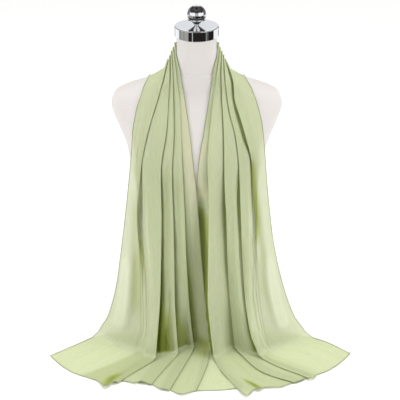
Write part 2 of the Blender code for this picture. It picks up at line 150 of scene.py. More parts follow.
# ---- The folds ----
# The columns of the folds' tables, from the nape to the hem, each at its station
PLACES = {"nape": 0, "ridge": 4, "collar": 6, "breast": 8, "chest": 9, "ribs": 11, "waist": 12,
          "knee": 13, "ankle": 15, "floor": 18}
EVEN_SINK = (0.42,) * len(PLACES)
FOLD = "name lap depth opening sink"        # sink: of the panel that leads to the fold
LEFT_FOLDS = table(
    FOLD,
    ("fold 1", (20, 16, 20, 21, 22, 12, 2, 0, 0, 0), (10, 5, 4.2, 3.4, 2.4, 14, 8, 4, 3, 1.5),
     (4, 1, 1, 1, 0.6, 5, 11, 16, 18, 20), EVEN_SINK),
    ("fold 2", (14, 9, 18, 24, 30, 34, 36, 36, 34, 32), (9, 4, 3.8, 3.8, 4, 11, 20, 29, 34, 4),
     (4, 1, 1, 1, 1, 2, 4, 8, 11, 9), EVEN_SINK),
    ("fold 3", (12, 7, 10, 12, 14, 20, 24, 26, 26, 24), (8, 3.5, 4, 3.8, 3.6, 8, 15, 22, 28, 4),
     (3, 1, 1, 1, 1, 2, 3, 5, 7, 6), (0.42, 0.42, 0.42, 0.42, 0.42, 0.44, 0.48, 0.58, 0.95, 0.3)),
    ("fold 4", (9, 6, 8, 9.5, 11, 17, 20, 20, 20, 15), (6, 3, 4, 5, 6.5, 10, 18, 23, 20, 4),
     (3, 1, 1, 1, 1.4, 2, 3.5, 5, 6, 5), (0.42, 0.42, 0.42, 0.42, 0.42, 0.42, 0.40, 0.42, 0.8, 0.3)),
)
RIGHT_FOLDS = table(
    FOLD,
    ("fold 1", (20, 16, 24, 26, 26, 12, 2, 0, 0, 0), (10, 5, 11, 13, 5, 7, 5, 4, 3, 1.5),
     (4, 1, 3.8, 4, 1.2, 3.4, 11, 16, 18, 20), EVEN_SINK),
    ("fold 2", (14, 9, 14, 16, 18, 22, 24, 24, 24, 22), (9, 4, 4.5, 4.5, 4.5, 16, 9, 12, 29, 4),
     (4, 1, 1.3, 1.2, 1.2, 4, 6, 5, 9, 8), EVEN_SINK),
    ("fold 3", (12, 7, 12, 14.5, 17, 22, 26, 28, 28, 24), (8, 3.5, 5.4, 5.6, 5.4, 15, 10, 4, 11, 4),
     (3, 1, 1.6, 1.6, 1.6, 3, 4, 5, 6, 5), (0.42, 0.42, 0.42, 0.42, 0.42, 0.4, 0.36, 0.3, 0.2, 0.3)),
    ("fold 4", (9, 6, 6, 6, 6, 9, 12, 14, 16, 18), (6, 3, 5.5, 8, 8.5, 22, 27, 27, 23, 3.2),
     (3, 1, 2, 3, 2.6, 3, 3, 3, 4, 4), EVEN_SINK),
)
FOLD_RADIUS = (0.8, 0.55, 0.6, 0.65, 0.7, 0.9, 1, 1, 1, 0.6)
PANEL_BULGE = (0.04, 0, 0.02, 0.03, 0.03, 0.05, 0.07, 0.07, 0.05, 0)
PANEL_FLATNESS = (0, 0, 0, 0, 0, 0, 0, 0, 0.2, 1)
SHOULDER_SAG = (0.0, 8.0, 1.0, 0.0, 0.0, 0.0, 0.0, 0.0, 0.0, 0.0)      # how the outer panel sinks
LAP_LIMIT = 0.78
LAP_ROOM = 2.4
CLOSED_LAP = 5.0
LYING_SINK = 0.3            # of every panel on the table
INNER_SHARES = (0.35, 0.7)  # of the innermost panel, at its two middle knots
INNER_FALL = 1.3            # how it comes forward to the inner edge
LEAST_STEP = 0.05           # between two knots
# An open fold's (across, depth), as shares of its opening and of its depth
OPEN_FOLD = ((-0.2, 0.02), (0.0, 0.1), (0.2, 0.28), (0.35, 0.5), (0.5, 0.7), (0.65, 0.88),
             (0.8, 1), (1.05, 0.95))
SLOPE_STEP = 2.0            # along the cloth, each way, for the slope at a point
SLOPE_REACH = 0.05          # across it, each way, as a share of a panel

CLOTH_CLEARANCE = 1.3       # from the form to the cloth, at least
PUSH_STEPS = 8              # at most, to move a point that far off
REACH_AIM = 1.001           # just clear of it
TABLE_CLEARANCE = 0.5

# Columns of the mesh between two knots of a fold, from the fold before it to its own last knot:
# 1 the middle of the panel that leads to it, 2 and 3 its brim, 4 to 6 round the crest, 7 to 9
# the hidden turn behind the lap, 10 and 11 the start of the next panel.
OUTER_SPLITS = (10, 10, 8, 3, 3, 3, 8, 3, 3, 8, 3)
FOLD_SPLITS = (6, 7, 7, 3, 3, 3, 8, 3, 3, 8, 3)
INNER_SPLITS = (8, 8, 8)
FOLD_KNOTS = len(FOLD_SPLITS)
LAST_KNOT = FOLD_KNOTS * len(LEFT_FOLDS)        # where the innermost panel starts
BACK_KNOT = 5               # of each fold, where the cloth turns back behind its crest
ROW_STEPS = (4.2, 6.6, 2.2, 4.6)        # between rows: neck, hanging, bend, lying
STEP_STATIONS = (8, 14.4, 18.4)         # where these steps change

# Soft creases and ridges that a hand would leave, each along one panel. Panels count from the
# outer edge (0) to the inner edge (4), and a share goes across the panel. Stations: 4 ridge,
# 8 breast, 11 ribs, 12 waist, 15 ankle, 17 bend, 19 middle of the lying cloth, 20 hem.
SOFT_LINE = "panel start start_share end end_share amount width"
CREASES = {
    "left": table(
        SOFT_LINE,
        (0, 10.5, 0.62, 14.6, 0.52, 3, 9), (0, 11.2, 0.84, 14.2, 0.74, -2.4, 7),
        (0, 6, 0.45, 10.5, 0.30, -1.2, 9), (0, 16.5, 0.35, 20.5, 0.55, 2.2, 9),
        (0, 17, 0.62, 20.5, 0.80, -1.4, 7), (1, 9, 0.40, 16.4, 0.44, 2.6, 7),
        (1, 10, 0.16, 15.2, 0.14, -2, 8), (1, 17, 0.30, 20.5, 0.40, 1.8, 7),
        (1, 17.2, 0.66, 20.5, 0.72, 1.6, 6), (2, 11, 0.35, 15, 0.45, 1.6, 5),
        (4, 9.5, 0.45, 14.5, 0.50, 1.8, 6),
    ),
    "right": table(
        SOFT_LINE,
        (0, 10.2, 0.70, 14.8, 0.60, 3, 9), (0, 9.6, 0.88, 13.6, 0.80, -2.6, 6),
        (0, 11, 0.42, 15, 0.34, 2, 12), (0, 16.6, 0.30, 20.5, 0.42, 2.2, 10),
        (0, 17, 0.66, 20.5, 0.74, 1.8, 8), (1, 9.5, 0.50, 14.8, 0.46, 1.6, 6),
        (2, 9, 0.42, 13.6, 0.40, 1.4, 6), (3, 10, 0.55, 15, 0.60, 1.8, 8),
        (3, 17.4, 0.40, 20.5, 0.35, 1.4, 7),
    ),
}

# Soft strips along the panels. A darker one is partly a hidden layer that shows through the front one and
# partly painted shade beside a crest or in a hollow; a paler one is painted light where a bare layer lies
# over the pale form.
# The amount is on the scale of the painted shade inside the folds, which is 1 in a deep pocket.
STRIPS = {
    "left": table(
        SOFT_LINE,
        (0, 10, 0.92, 14.2, 0.80, 0.20, 15), (0, 11.4, 0.74, 15, 0.64, 0.09, 10),
        (4, 10.6, 0.50, 17.6, 0.50, 0.32, 40), (4, 14.5, 0.50, 19, 0.50, 0.22, 30),
        (4, 5.2, 0.55, 11.4, 0.60, -0.55, 20), (1, 19.2, 0.60, 21.2, 0.60, 0.42, 8),
        (2, 8.8, 0.44, 13.7, 0.47, 0.31, 8), (3, 9.2, 0.42, 13.4, 0.44, 0.28, 6),
        (1, 9.6, 0.26, 13.2, 0.22, 0.24, 7), (0, 12, 0.38, 14.6, 0.36, -0.60, 13),
    ),
    "right": table(
        SOFT_LINE,
        (4, 7.5, 0.70, 11.4, 0.70, -0.55, 14), (3, 19.2, 0.62, 21.2, 0.62, 0.6, 5),
        (0, 8.6, 0.92, 12, 0.94, 0.44, 8), (0, 10, 0.78, 14.2, 0.74, 0.17, 9),
        (0, 11.5, 0.68, 14.8, 0.64, 0.12, 6), (1, 16, 0.20, 21, 0.35, 0.12, 9),
        (4, 5.6, 0.20, 11, 0.20, 0.18, 8), (1, 11.4, 0.92, 13.2, 0.92, 0.30, 6),
        (0, 12, 0.46, 14.6, 0.42, -0.60, 12), (1, 9.8, 0.20, 12.8, 0.20, 0.28, 7),
    ),
}
# The same darkening panel by panel, partly painted shade and partly cloth over itself, from the outer
# edge
# to the inner edge: hanging, and on the table
HANGING_SHADE_AND_LAYERS = {"left": (0.17, 0, 0.02, 0.02, 0), "right": (0.18, 0, 0, 0, 0)}
LYING_SHADE_AND_LAYERS = {"left": (0.05, 0.33, 0.27, 0.28, 0.25), "right": (0.06, 0.18, 0.22, 0.28, 0.10)}
TURN_SHADOW = 0.42          # painted shade in the hidden turns of the folds
EDGE_SHADOW = {"left": 0.72, "right": 0.36}        # painted shade along the outermost fold, where it opens

# Where the hem is curled up, or reaches further out than the straight cut would. Panels and
# shares as above; `out` is towards -Y.
CURL = "panel share width rise out reach"
CURLS = {
    "left": table(
        CURL,
        (0, 0.06, 10, 3, 0, 12), (1, 0.60, 11, 5, 25, 18), (1, 0.86, 8, 4, 2, 10),
        (2, 0.64, 7, 4.5, 5, 10), (2, 0.40, 8, 1, 6, 12), (3, 0.55, 12, 2, 6, 14),
        (4, 0.45, 17, 3, 15, 40),
    ),
    "right": table(
        CURL,
        (3, 0.86, 12, 2, 31, 26), (3, 0.64, 7, 5.5, 10, 10), (3, 0.25, 10, 2, 4, 12),
        (1, 0.86, 6, 4, 9, 12), (1, 0.42, 6, 2.5, 9, 9), (0, 0.06, 9, 3, 0, 12),
    ),
}

# Slow unevenness of a soft cloth: cells across and along it, and how far it stands out
WANDERS = table(
    "across along hanging lying seed",
    (26, 150, 1.1, 0.9, 3), (12, 70, 0.45, 0.5, 11), (15, 26, 0, 0.55, 23),
)

# Fine gathers where the cloth is bunched round the neck. They fan out downwards, and below the
# chest they stay in the folds' hidden turns.
GATHER_COUNT = 46           # across the whole width
GATHER_DRIFT = 0.8          # of a gather, how far they stray to either side
GATHER_CELL = (31, 120)     # across and along the cloth, between two such ways
CALM_EDGE = 12              # beside the long edges, where all unevenness fades
GATHERS = table(
    "station seen hidden",
    (0, 1.1, 1.8), (3, 0.8, 1.6), (4, 0.5, 1.2), (6, 0.32, 0.6), (8, 0.12, 0.4), (10, 0.06, 0.7),
    (13, 0.06, 2), (15, 0.04, 1), (17, 0, 0),
)

# Painted shade inside the folds, by how far a point lies behind the front of the cloth
SHADOW_START = 2.0
SHADOW_DEPTH = (36.0, 20.0)     # behind the front, where a fold's painted shade is at its darkest: chest, foot
INNER_SHADOW = {"left": 0.4, "right": 1.0}     # how much of it the innermost panel shows
GAP_CELL = 4.0              # of the net on which the front of the cloth is read near the middle
GAP_NET = (800, 700)        # its width and height
GAP_REACH = 6               # cells, each way across
GAP_HALF_WIDTH = 52
GAP_SHADOW = 0.86

HEM_RADIUS = 0.85           # of the narrow rolled hem
HEM_STEP = 2.6              # between two points along the hem
HEM_OVER_TABLE = 0.25
HEM_OFF_FORM = 0.6


# ---- Curves ----
def curve_through(knots, values, at, taut=False):
    """Read a smooth curve that passes through `values` at `knots`.

    A taut curve keeps its long spans straight, and bends in its short ones.
    """
    knots, values, at = [np.atleast_1d(np.asarray(given, float)) for given in (knots, values, at)]
    column = (-1,) + (1,) * (values.ndim - 1)
    span = np.diff(knots).reshape(column)
    slope = np.diff(values, axis=0) / span
    before, after = (span[:-1], span[1:]) if taut else (span[1:], span[:-1])
    inner = (slope[:-1] * before + slope[1:] * after) / (before + after)
    tangent = np.concatenate((slope[:1], inner, slope[-1:]))
    cell = np.clip(np.searchsorted(knots, at, side="right") - 1, 0, len(knots) - 2)
    width = span[cell]
    t = (at - knots[cell]).reshape(column) / width
    start = (1 + 2 * t) * (1 - t) ** 2 * values[cell] + t * (1 - t) ** 2 * width * tangent[cell]
    end = t ** 2 * (3 - 2 * t) * values[cell + 1] + t ** 2 * (t - 1) * width * tangent[cell + 1]
    return start + end


def smooth(share):
    """0 to 1 with no corner at either end."""
    share = np.clip(share, 0, 1)
    return share * share * (3 - 2 * share)


def eased(knots, values, at):
    """Read `values` at `at`, easing from each knot to the next with no overshoot."""
    cell = int(np.clip(np.searchsorted(knots, at, side="right") - 1, 0, len(knots) - 2))
    share = smooth((at - knots[cell]) / (knots[cell + 1] - knots[cell]))
    return values[cell] * (1 - share) + values[cell + 1] * share


def mix(first, second, share):
    return first * (1 - share) + second * share


def uneven(across, along, seed):
    """Smooth unevenness between -1 and 1, one cell for each whole number."""
    size = 96
    lattice = np.random.default_rng(seed).uniform(-1, 1, (size, size))
    column, row = np.floor(across).astype(int), np.floor(along).astype(int)
    near, far = [[lattice[(column + right) % size, (row + up) % size] for right in (0, 1)]
                 for up in (0, 1)]
    s, t = smooth(across - column), smooth(along - row)
    return mix(mix(*near, s), mix(*far, s), t)


def distance_along(points):
    """How far each point is from the first, along a line or along each row of a sheet."""
    steps = np.linalg.norm(np.diff(points, axis=-2), axis=-1)
    return np.insert(np.cumsum(steps, axis=-1), 0, 0.0, axis=-1)


# ---- The form's shape ----
def form_section(height):
    """Half width, front and back of the form at each height."""
    sections = np.array(FORM_SECTIONS, float)
    return curve_through(sections[:, 0], sections[:, 1:], np.minimum(height, NECK_TOP))


def form_front(across, height, off):
    """How far forward (-Y) the form's front lies, moved out by `off`."""
    half_width, front, _ = form_section(height)[0]
    share = min(abs(across) / (half_width + off), 1.0)
    return -(front + off) * (1 - share ** FORM_SQUARENESS) ** (1 / FORM_SQUARENESS)


def form_reach(points, off):
    """1 on the form's skin moved out by `off`, and less inside it."""
    height = points[:, 2]
    slope = (form_section(height + 1) - form_section(height - 1)) / 2
    half_width, front, back = (form_section(height) + off * np.hypot(1, slope)).T
    deep = np.where(points[:, 1] < 0, front, back)
    return ((np.abs(points[:, 0]) / half_width) ** FORM_SQUARENESS
            + (np.abs(points[:, 1]) / deep) ** FORM_SQUARENESS) ** (1 / FORM_SQUARENESS)


def off_the_form(points, off):
    """Move each point that is nearer to the form than `off` straight out to that distance."""
    moved = points.copy()
    for _ in range(PUSH_STEPS):
        near = np.flatnonzero(moved[:, 2] <= NECK_TOP)
        reach = form_reach(moved[near], off)
        near, reach = near[reach < 1], reach[reach < 1]
        if not len(near):
            break
        here = moved[near]
        way = np.stack([(form_reach(here + step, off) - form_reach(here - step, off)) / 2
                        for step in np.eye(3)], axis=1)
        moved[near] += way * ((REACH_AIM - reach) / np.maximum((way ** 2).sum(axis=1), 1e-6))[:, None]
    return moved


# ---- The scarf's surface ----
def line_points(line, back_points, side):
    """One guide line's points, a point for each station from the nape to the hem."""
    points = [(side * x, y, z) for x, y, z in back_points]
    ridge = points[-1][2]
    heights = [mix(ridge, BREAST_HEIGHT, share) for share in COLLAR_SHARES] + list(LEVELS)
    lowest = len(line.across) - len(COLLAR_SHARES) - 1
    across = list(line.across) + [mix(line.foot[0], line.across[-1], height / LEVELS[lowest])
                                  for height in LEVELS[lowest + 1:]]
    shares = list(COLLAR_SHARES) + [1.0] * len(LEVELS)
    hang_across = np.interp(-line.hang_from, [-height for height in heights], across)
    hang_forward = form_front(hang_across, line.hang_from, line.off_form)
    for x, height, share in zip(across, heights, shares):
        if height > line.hang_from:
            forward = form_front(x, height, mix(line.off_neck, line.off_form, share))
        else:
            drop = 1 - height / line.hang_from
            forward = mix(hang_forward, line.foot[1], drop ** FLARE)
            forward += line.set_back * np.sin(np.pi * drop)
        points.append((x, forward, height))
    foot = np.array(line.foot, float)
    run = np.array(line.middle, float) - foot
    run /= np.linalg.norm(run)
    return points + [(*(foot + run * BEND_LENGTH), line.lie + BEND_RISE),
                     (*(foot + run * LIE_LENGTH), line.lie),
                     (*line.middle, line.lie), (*line.hem, line.lie)]


class Half:
    """One half of the scarf, from the nape to its hem, as a folded surface."""

    def __init__(self, name, lines, folds, side):
        self.name = name
        self.folds = folds
        self.side = side
        points = np.array([line_points(line, [row[index] for row in BACK_STATIONS], side)
                           for index, line in enumerate(lines)], float)
        ghost = points[:, 1:2] * (-1, 1, 1)             # the other half, so the nape is smooth
        points = np.concatenate((ghost, points), axis=1)
        steps = np.linalg.norm(np.diff(points, axis=1), axis=2).mean(axis=0)
        length = np.insert(np.cumsum(steps), 0, 0.0)
        self.lengths = length - length[1]
        self.points = points.transpose(1, 0, 2)
        self.places = [self.length_at(station) for station in PLACES.values()]

    def length_at(self, station):
        """Distance along the cloth of a station, which may be a fraction."""
        return float(np.interp(station + 1, range(len(self.lengths)), self.lengths))

    def station_at(self, length):
        return np.interp(length, self.lengths, range(len(self.lengths))) - 1

    def guide_row(self, length):
        """The guide lines' points at `length`, and how far across the cloth they lie."""
        row = curve_through(self.lengths, self.points, length, taut=True)[0]
        return row, distance_along(row)

    def guide(self, length, line):
        """Points of the smooth sheet through the guide lines, at fractional line numbers."""
        row, knots = self.guide_row(length)
        return curve_through(knots, row, np.interp(line, range(len(knots)), knots))

    def place(self, values, length):
        return eased(self.places, values, length)

    def fold_knots(self, fold, panel, before, length, form):
        """(across, depth) knots of one fold and of the panel that leads to it.

        They go across as the tables say at `length`, and back as they say at `form`.
        """
        radius = self.place(FOLD_RADIUS, length)
        flat = self.place(PANEL_FLATNESS, form)
        bulge = self.place(PANEL_BULGE, form) * panel
        depth = self.place(fold.depth, form)
        start, start_depth = before
        opening = self.place(fold.opening, length)
        room = panel - start
        lap = max(min(self.place(fold.lap, length), LAP_LIMIT * room, room - LAP_ROOM), 0.0)
        sink = self.place(fold.sink, form)
        rest = mix(sink, LYING_SINK, flat) * start_depth - bulge
        brim = max(lap, 0.45 * room)
        sag = self.place(SHOULDER_SAG, form) if fold is self.folds[0] else 0.0
        turn = max(rest + sag + 2.1 * radius + 0.5, 0.6 * depth)
        middle_depth = mix(0.5 + 0.4 * sink, 0.97, flat) * start_depth - bulge + sag
        crown = [(mix(start - panel, -brim, 0.5), middle_depth), (-brim, rest + sag),
                 (-0.45 * brim - 0.5, max(sink, 0.42) * rest + 0.35 * sag)]
        hook = [
            (-1.7 * radius, 0.0), (0.0, radius), (-1.7 * radius, 2 * radius),
            (1.2 * radius - lap, turn), (-0.5 * radius - lap, turn + radius),
            (1.2 * radius - lap, turn + 2 * radius),
            (0.25 * opening, depth), (opening, 0.8 * depth),
        ]
        closed = smooth(lap / CLOSED_LAP)
        turns = [(mix(across * opening, h[0], closed), mix(deep * depth, h[1], closed))
                 for (across, deep), h in zip(OPEN_FOLD, hook)]
        return crown + turns, turns[-1]

    def section_knots(self, length, form):
        """(across, depth) of one section's knots, from the outer edge to the inner edge."""
        distances = self.guide_row(length)[1]
        knots = [(0.0, 0.0)]
        before = (0.0, 0.0)
        for index, fold in enumerate(self.folds, start=1):
            panel = distances[index] - distances[index - 1]
            turns, before = self.fold_knots(fold, panel, before, length, form)
            knots += [(distances[index] + across, depth) for across, depth in turns]
        opening, depth = before
        for share in INNER_SHARES:
            across = mix(opening, distances[-1] - distances[-2], share)
            knots.append((distances[-2] + across, depth * (1 - share) ** INNER_FALL))
        knots.append((distances[-1], 0.0))
        return np.array(knots), distances

    def section(self, length, at):
        """One row of the folded surface; `at` counts the section's knots, with fractions.

        Where the cloth hangs, the folds go back from the guides' sheet. On the table each layer
        lies as far behind its crest as it hung, and a little lower.
        """
        hanging, distances = self.section_knots(length, min(length, self.places[-2]))
        lying, _ = self.section_knots(length, self.places[-1])
        station = float(self.station_at(length))
        lain = float(smooth((station - FOOT_STATION) / 2.2))
        knots = np.column_stack((hanging, lying[:, 1]))
        steps = np.linalg.norm(np.diff(mix(hanging, lying, lain), axis=0), axis=1)
        run = np.insert(np.cumsum(np.maximum(steps, LEAST_STEP)), 0, 0.0)
        across, back, down = curve_through(run, knots, np.interp(at, range(len(run)), run)).T
        last = len(distances) - 1
        line = np.interp(across, distances, range(len(distances)))
        upright = min(length, self.length_at(FOOT_STATION))
        along = self.guide(upright + SLOPE_STEP, line) - self.guide(upright - SLOPE_STEP, line)
        over = (self.guide(upright, np.minimum(line + SLOPE_REACH, last))
                - self.guide(upright, np.maximum(line - SLOPE_REACH, 0)))
        way = self.side * np.cross(over, along)
        way /= np.linalg.norm(way, axis=1)[:, None]
        way[:, 2] *= 1 - smooth((station - 12.5) / 2)
        left = mix(1.0, HEM_SHARE, smooth((station - 18) / 2))
        points = self.guide(length, line) + way * (back * left)[:, None]
        points[:, 2] -= down * lain
        return off_the_form(points, CLOTH_CLEARANCE), back


def knot_columns():
    """The knot number, with fractions, of each column of the mesh."""
    splits = OUTER_SPLITS + FOLD_SPLITS * (len(LEFT_FOLDS) - 1) + INNER_SPLITS
    return np.array([0.0] + [knot + (step + 1) / split
                             for knot, split in enumerate(splits) for step in range(split)])


def fold_knot(at):
    """Each column's knot in its own fold, and 0 across the innermost panel."""
    return np.where(at > LAST_KNOT, 0, np.mod(at, FOLD_KNOTS))


def row_lengths(half):
    """Distances along the cloth of the mesh's rows, from the nape to the hem."""
    ends = [0.0] + [half.length_at(station) for station in STEP_STATIONS] + [half.lengths[-1]]
    rows = [0.0]
    for start, end, step in zip(ends, ends[1:], ROW_STEPS):
        count = int(np.ceil((end - start) / step))
        rows += list(start + (end - start) * (np.arange(count) + 1) / count)
    return np.array(rows)


def panel_shares(at, rows):
    """For each point its panel's number, and how far across that panel it lies."""
    run = distance_along(rows)
    panel = np.full(len(at), -1)
    share = np.zeros(run.shape)
    for number in range(len(LEFT_FOLDS) + 1):
        start = FOLD_KNOTS * number
        inside = (at >= start) & (at <= (start + BACK_KNOT if start < LAST_KNOT else at[-1]))
        panel[inside] = number
        first, last = run[:, inside][:, :1], run[:, inside][:, -1:]
        share[:, inside] = (run[:, inside] - first) / np.maximum(last - first, 0.01)
    return panel, share, run


def soft_lines(lines, station, panel, share, run):
    """The heights, point by point, of soft lines that run down the panels."""
    height = np.zeros(run.shape)
    for line in lines:
        along = (station - line.start) / (line.end - line.start)
        fade = smooth(along / 0.25) * smooth((1 - along) / 0.25)
        centre = mix(line.start_share, line.end_share, np.clip(along, 0, 1))
        inside = panel == line.panel
        width = np.maximum(np.ptp(run[:, inside], axis=1, keepdims=True), 1.0)
        away = (share[:, inside] - centre) * width / line.width
        height[:, inside] += line.amount * fade * np.exp(-away ** 2)
    return height


def painted_shade_and_layers(half, station, at, panel, share, run):
    """How much painted shade and the cloth behind each point deepen its colour: 0 is a single layer, and
    below 0 it is painted light.
    """
    shade_and_layer_amount = soft_lines(STRIPS[half.name], station, panel, share, run)
    hangs = smooth((station - 8) / 3)
    lies = smooth((station - 15.5) / 2)
    hanging, lying = HANGING_SHADE_AND_LAYERS[half.name], LYING_SHADE_AND_LAYERS[half.name]
    for number, layers_and_shade in enumerate(zip(hanging, lying)):
        shade_and_layer_amount[:, panel == number] += mix(layers_and_shade[0] * hangs, layers_and_shade[1], lies)
    # Round the outermost fold's crest the panel's own painted shade fades out, and painted shade darkens
    # its edge.
    first = (at > 4) & (at < FOLD_KNOTS)
    grown = smooth((at[first] - 4) / 4)
    edge = smooth((at[first] - 4.6) / 1.4) * smooth((11.2 - at[first]) / 1.8)
    opens = smooth((station - 9.8) / 1.2) * smooth((13.4 - station) / 2)
    hung = hanging[0] * (1 - grown) * hangs + EDGE_SHADOW[half.name] * edge * opens
    shade_and_layer_amount[:, first] += mix(hung, lying[1] * grown, lies)
    # Painted shade darkens the hidden turns where the fold is closed.
    knot = fold_knot(at)
    turn = TURN_SHADOW * smooth((knot - 4.6) / 0.8) * smooth((11.4 - knot) / 0.8)
    for number, fold in enumerate(half.folds):
        inside = at // FOLD_KNOTS == number
        laps = np.array([[half.place(fold.lap, half.length_at(place))] for place in station[:, 0]])
        closed = smooth(laps / CLOSED_LAP) * smooth((station - 3.5) / 2)
        hidden = turn[inside] * closed * mix(1, 0.6, lies)
        shade_and_layer_amount[:, inside] = np.maximum(shade_and_layer_amount[:, inside], hidden)
    return shade_and_layer_amount


def creased(half, rows, lengths, station, at):
    """Move the smooth folds of one half in and out by its creases, curls and unevenness."""
    panel, share, run = panel_shares(at, rows)
    stand = soft_lines(CREASES[half.name], station, panel, share, run)
    cut_across = run / run[:, -1:] * SCARF_WIDTH
    cut_along = np.broadcast_to(lengths[:, None] * half.side, cut_across.shape)

    def wavy(across, along, seed):
        return uneven(cut_across / across, cut_along / along + 40, seed)

    lying = smooth((station - 15.8) / 1.4)
    for wander in WANDERS:
        height = mix(wander.hanging, wander.lying, lying)
        stand += height * wavy(wander.across, wander.along, wander.seed)
    # Gathers are shallow on the panels, none runs round a crest, and they're deep in the turns.
    knot = fold_knot(at)
    back = np.maximum(np.sin(np.pi * np.clip(knot - 6, 0, 1)), np.sin(np.pi * np.clip(knot - 9, 0, 1)))
    hidden = np.minimum(1.6 * back, 1.0)
    turning = smooth(1.6 - np.abs(knot - 4.6)) * (knot > 2.5)
    stations, *heights = np.array(GATHERS, float).T
    seen_height, hidden_height = [np.interp(station, stations, height) for height in heights]
    turns = GATHER_COUNT * run / run[:, -1:] + GATHER_DRIFT * wavy(*GATHER_CELL, 5)
    tucked = (knot > 5.2) & (knot < 10.9)
    stand *= np.where(tucked, 0.25, mix(1.0, 0.35, turning))
    stand += mix(seen_height * (1 - turning), hidden_height, hidden) * np.sin(2 * np.pi * turns)
    edge = np.minimum(run, run[:, -1:] - run)
    stand *= mix(0.35, 1.0, smooth(edge / CALM_EDGE))
    stand *= mix(0.4, 1.0, smooth((station - 3) / 5))
    normal = np.cross(np.gradient(rows, axis=1), np.gradient(rows, axis=0))
    normal = normal / np.maximum(np.linalg.norm(normal, axis=2), 1e-9)[:, :, None] * -half.side
    moved = rows + normal * stand[:, :, None]
    for curl in CURLS[half.name]:
        inside = panel == curl.panel
        centre = mix(run[:, inside][:, :1], run[:, inside][:, -1:], curl.share)
        near = (np.exp(-((run - centre) / curl.width) ** 2)
                * np.exp(-((half.lengths[-1] - lengths) / curl.reach) ** 2)[:, None])
        moved[:, :, 1] -= curl.out * near
        moved[:, :, 2] += curl.rise * near ** 2
    return moved, painted_shade_and_layers(half, station, at, panel, share, run)


def gap_shadow(rows, stations):
    """Painted shade for the right half near the middle, by how far each point lies behind the front: 0 to
    1.

    The front is read on a net of cells, and each cell takes it from the near ones. It finds the
    gap between the two halves, which neither half's folds know of.
    """
    x, y, z = rows.reshape(-1, 3).T
    station = np.repeat(stations, rows.shape[1])
    hangs = (station > 7) & (station < FOOT_STATION + 1) & (y < 0)
    column, level = [np.clip(np.round(place / cell).astype(int), 0, int(reach / cell))
                     for place, cell, reach in ((x + GAP_NET[0] / 2, GAP_CELL, GAP_NET[0]),
                                                (z, GAP_CELL * 2, GAP_NET[1]))]
    front = np.full((column.max() + 1, level.max() + 1), 1000.0)
    np.minimum.at(front, (column[hangs], level[hangs]), y[hangs])
    near = np.min([np.roll(front, shift, axis=0) + 0.12 * (shift * GAP_CELL) ** 2 / GAP_REACH
                   for shift in range(-GAP_REACH, GAP_REACH + 1)], axis=0)
    near = sum(np.roll(near, shift, axis=1) for shift in (-2, -1, 0, 1, 2)) / 5
    behind = (y - near[column, level]).reshape(rows.shape[:2]) - SHADOW_START
    middle = hangs * smooth((GAP_HALF_WIDTH - np.abs(x)) / 16) * (np.arange(len(x)) > len(x) // 2)
    onset = smooth((stations - 10.4) / 0.9)
    return GAP_SHADOW * shadow_scale(behind, stations) * onset * middle.reshape(rows.shape[:2])


def shadow_scale(behind, stations):
    """Painted shade, 0 to 1, for how far behind the front a point lies, row by row."""
    depth = mix(*SHADOW_DEPTH, smooth((stations - 9) / 5))
    return np.clip(behind / depth, 0, 1) * smooth((stations - 8.5) / 2)


def joined(halves, nape):
    """What the left half says from its hem to the nape, then the right half to its own hem."""
    return np.concatenate((halves[0][:0:-1], nape, halves[1][1:]))


def scarf_surface():
    """The whole scarf's rows from the left hem over the nape to the right hem.

    Also each point's place on the flat cut, and its painted shade by how deep it lies in the folds.
    """
    at = knot_columns()
    halves = []
    for half in (Half("left", LEFT_LINES, LEFT_FOLDS, 1), Half("right", RIGHT_LINES, RIGHT_FOLDS, -1)):
        lengths = row_lengths(half)
        sections = [half.section(length, at) for length in lengths]
        backs = np.array([back for _, back in sections])
        stations = half.station_at(lengths)[:, None]
        rows, shade_and_layer_amount = creased(half, np.array([points for points, _ in sections]), lengths, stations, at)
        # Painted shade, by how far behind the crests each point lies
        behind = shadow_scale(backs - SHADOW_START, stations) * (1 - smooth((stations - 16.0) / 1.4))
        behind *= mix(1.0, INNER_SHADOW[half.name], smooth((at - LAST_KNOT - 0.3) / 1.2))
        flat = off_the_form(rows.reshape(-1, 3), CLOTH_CLEARANCE)
        flat[:, 2] = np.maximum(flat[:, 2], TABLE_CLEARANCE)
        halves.append((flat.reshape(rows.shape), stations,
                       SCARF_LENGTH / 2 * (1 - half.side * lengths / lengths[-1]),
                       np.where(shade_and_layer_amount < 0, shade_and_layer_amount + behind, np.maximum(shade_and_layer_amount, behind))))
    parts, places, cuts, layers_and_shade = zip(*halves)
    rows = joined(parts, (parts[0][:1] + parts[1][:1]) / 2)
    along = joined(cuts, (SCARF_LENGTH / 2,))
    run = distance_along(rows)
    across = run / run[:, -1:] * SCARF_WIDTH
    # Painted shade in the gap between the two halves
    shadow = gap_shadow(rows, joined(places, ((0.0,),)))
    layers_and_shade = joined(layers_and_shade, layers_and_shade[1][:1])
    shadow = np.where(shadow > 0.02, np.maximum(shadow, layers_and_shade), layers_and_shade)
    return rows, across, np.broadcast_to(along[:, None], across.shape), shadow


# ---- Meshes ----
def placed(name, data):
    """A new object in the scene."""
    item = bpy.data.objects.new(name, data)
    bpy.context.scene.collection.objects.link(item)
    return item


def dressed(mesh, material, sharp=None):
    """A mesh as a smooth object in its material; edges over `sharp` degrees stay sharp."""
    mesh.materials.append(material)
    mesh.shade_smooth()
    if sharp:
        mesh.set_sharp_from_angle(angle=math.radians(sharp))
    return placed(mesh.name, mesh)


